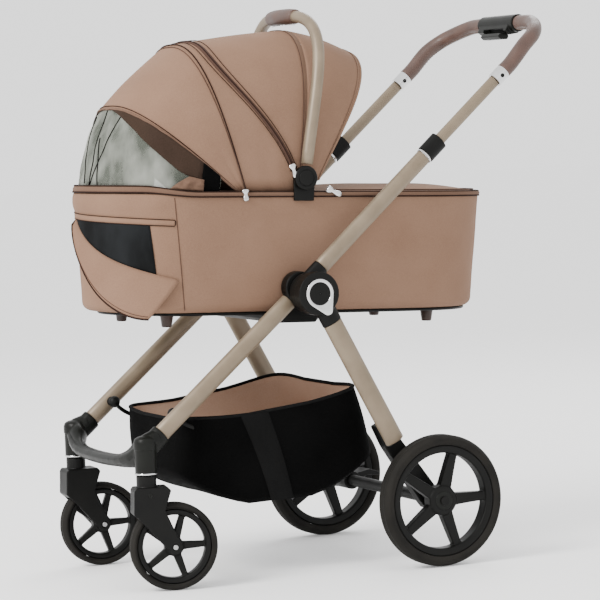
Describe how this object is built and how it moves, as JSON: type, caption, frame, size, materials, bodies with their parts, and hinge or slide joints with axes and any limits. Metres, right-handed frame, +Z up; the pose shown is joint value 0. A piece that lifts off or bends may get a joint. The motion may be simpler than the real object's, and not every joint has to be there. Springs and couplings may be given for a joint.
{
  "type": "pet stroller",
  "caption": "Pet stroller with an oval fabric cabin, folding hood with a carrying arch, telescopic push handle, slung basket, swivelling front wheels and large rear wheels.",
  "frame": {"origin": "middle of the bounding box, on the floor", "axes": "+Z up, +X towards the push handle at the rear, +Y towards the stroller's right side"},
  "size_m": [0.9974, 0.585, 1.1195],
  "materials": {
    "frame": "satin champagne",
    "black": "fine grain",
    "graphite": "satin",
    "tyre": "matt foam",
    "chrome": "polished",
    "leather": "grained and stitched",
    "brown": "satin",
    "fabric": "tight weave",
    "net": "open mesh",
    "lining": "coarse weave",
    "steel": "turned"
  },
  "bodies": {
    "front_frame": {"front_leg_left": "frame", "front_leg_right": "frame", "hinge_inner_left": "black", "hinge_inner_right": "black", "hinge_pin_left": "steel", "hinge_pin_right": "steel", "cabin_cradle": "black", "front_yoke": "graphite", "basket": "lining"},
    "rear_frame": {"rear_leg_left": "frame", "rear_leg_right": "frame", "rear_foot_left": "black", "rear_foot_right": "black", "hinge_outer_left": "black", "hinge_outer_right": "black", "hinge_bezel_left": "chrome", "hinge_bezel_right": "chrome", "rear_axle": "black"},
    "handle_frame": {"handle_tube_left": "frame", "handle_tube_right": "frame", "hinge_middle_left": "black", "hinge_middle_right": "black", "height_collar_left": "black", "height_collar_right": "black"},
    "handle_top": {"inner_tube_left": "frame", "inner_tube_right": "frame", "grip_connector_left": "chrome", "grip_connector_right": "chrome", "grip_left": "leather", "grip_right": "leather", "bar_housing": "graphite"},
    "release_lever": {"release_lever": "graphite"},
    "cabin": {"cabin_tub": "fabric", "bed_pad": "fabric", "cabin_base": "brown", "hood_socket_left": "black", "hood_socket_right": "black", "rear_cover": "fabric", "hood_fabric": "fabric", "front_net": "net", "hood_brow_hoop": "black", "window_net": "net", "window_flap": "fabric"},
    "hood": {"carry_arch": "frame", "carry_grip": "leather"},
    "visor": {"visor_hoop": "black"},
    "caster_left": {"caster_fork_left": "black", "front_axle_left": "steel"},
    "caster_right": {"caster_fork_right": "black", "front_axle_right": "steel"},
    "front_wheel_left": {"front_tyre_left": "tyre", "front_rim_left": "black"},
    "front_wheel_right": {"front_tyre_right": "tyre", "front_rim_right": "black"},
    "rear_wheel_left": {"rear_tyre_left": "tyre", "rear_rim_left": "black"},
    "rear_wheel_right": {"rear_tyre_right": "tyre", "rear_rim_right": "black"},
    "brake": {"brake_pedal": "black"}
  },
  "joints": [
    {"name": "rear_leg_fold", "type": "hinge", "parent": "front_frame", "child": "rear_frame", "pos_m": [-0.08752, 0, 0.55668], "axis": [0, 1, 0], "range_deg": [0, 40]},
    {"name": "handle_fold", "type": "hinge", "parent": "front_frame", "child": "handle_frame", "pos_m": [-0.08752, 0, 0.55668], "axis": [0, -1, 0], "range_deg": [0, 145]},
    {"name": "handle_height", "type": "slide", "parent": "handle_frame", "child": "handle_top", "axis": [-0.7518, 0, -0.6593], "range_m": [0, 0.165]},
    {"name": "release_squeeze", "type": "slide", "parent": "handle_top", "child": "release_lever", "axis": [0, 0, 1], "range_m": [0, 0.004], "stiffness_N_per_m": 800, "springref_m": -0.002},
    {"name": "cabin_lift", "type": "slide", "parent": "front_frame", "child": "cabin", "axis": [0.0427, 0, 0.9991], "range_m": [0, 0.25]},
    {"name": "hood_fold", "type": "hinge", "parent": "cabin", "child": "hood", "pos_m": [-0.0769, 0, 0.78143], "axis": [0, -1, 0], "range_deg": [0, 68], "deforming": ["hood_fabric"]},
    {"name": "visor_fold", "type": "hinge", "parent": "hood", "child": "visor", "pos_m": [-0.0769, 0, 0.78143], "axis": [0, -1, 0], "range_deg": [0, 22], "deforming": ["hood_fabric"]},
    {"name": "caster_swivel_left", "type": "hinge", "parent": "front_frame", "child": "caster_left", "pos_m": [-0.4401, -0.192, 0.226], "axis": [0, 0, 1], "continuous": true},
    {"name": "caster_swivel_right", "type": "hinge", "parent": "front_frame", "child": "caster_right", "pos_m": [-0.4401, 0.192, 0.226], "axis": [0, 0, 1], "continuous": true},
    {"name": "front_wheel_spin_left", "type": "hinge", "parent": "caster_left", "child": "front_wheel_left", "pos_m": [-0.39333, -0.2028, 0.0855], "axis": [0.225, 0.9744, 0], "continuous": true},
    {"name": "front_wheel_spin_right", "type": "hinge", "parent": "caster_right", "child": "front_wheel_right", "pos_m": [-0.39217, 0.18949, 0.0855], "axis": [0.0523, 0.9986, 0], "continuous": true},
    {"name": "rear_wheel_spin_left", "type": "hinge", "parent": "rear_frame", "child": "rear_wheel_left", "pos_m": [0.1549, -0.27, 0.1312], "axis": [0, 1, 0], "continuous": true},
    {"name": "rear_wheel_spin_right", "type": "hinge", "parent": "rear_frame", "child": "rear_wheel_right", "pos_m": [0.1549, 0.27, 0.1312], "axis": [0, 1, 0], "continuous": true},
    {"name": "brake_press", "type": "hinge", "parent": "rear_frame", "child": "brake", "pos_m": [0.1549, 0.157, 0.1312], "axis": [0, 1, 0], "range_deg": [0, 14]}
  ]
}
